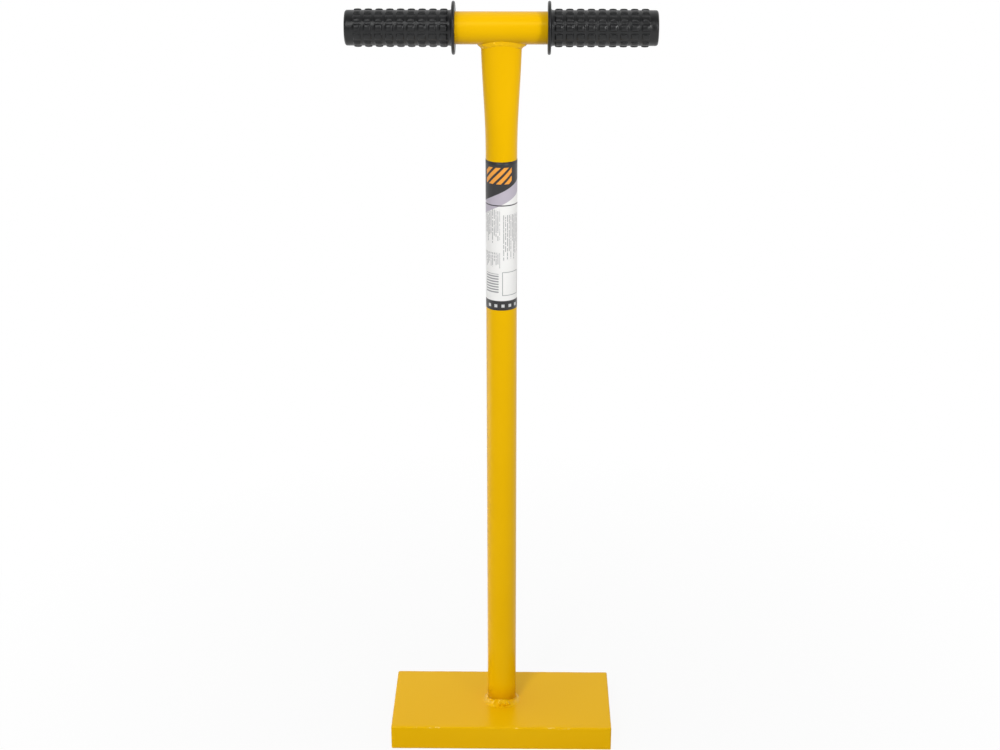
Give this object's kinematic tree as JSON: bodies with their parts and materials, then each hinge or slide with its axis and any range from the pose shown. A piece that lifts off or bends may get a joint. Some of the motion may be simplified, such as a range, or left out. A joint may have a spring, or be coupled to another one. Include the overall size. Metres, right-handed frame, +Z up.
{
  "type": "hand tamper",
  "caption": "Hand tamper: a thick rectangular steel plate welded to a round tube shaft, whose pressed upper end carries a T handle with flanged, studded rubber grips.",
  "frame": {"origin": "middle of the tamping face, the plate's underside", "axes": "+Z up along the shaft, +X along the T handle, +Y to the back of the plate's short side"},
  "size_m": [0.324, 0.125, 0.8675],
  "materials": {
    "paint": "glossy yellow enamel on steel",
    "grip_rubber": "satin black moulded rubber",
    "label_film": "printed film"
  },
  "bodies": {
    "root": {"base_plate": "paint", "shaft_tube": "paint", "crossbar_tube": "paint", "foot_weld": "paint", "handle_weld": "paint", "grip_left": "grip_rubber", "grip_right": "grip_rubber", "label_wrap": "label_film"}
  },
  "joints": []
}
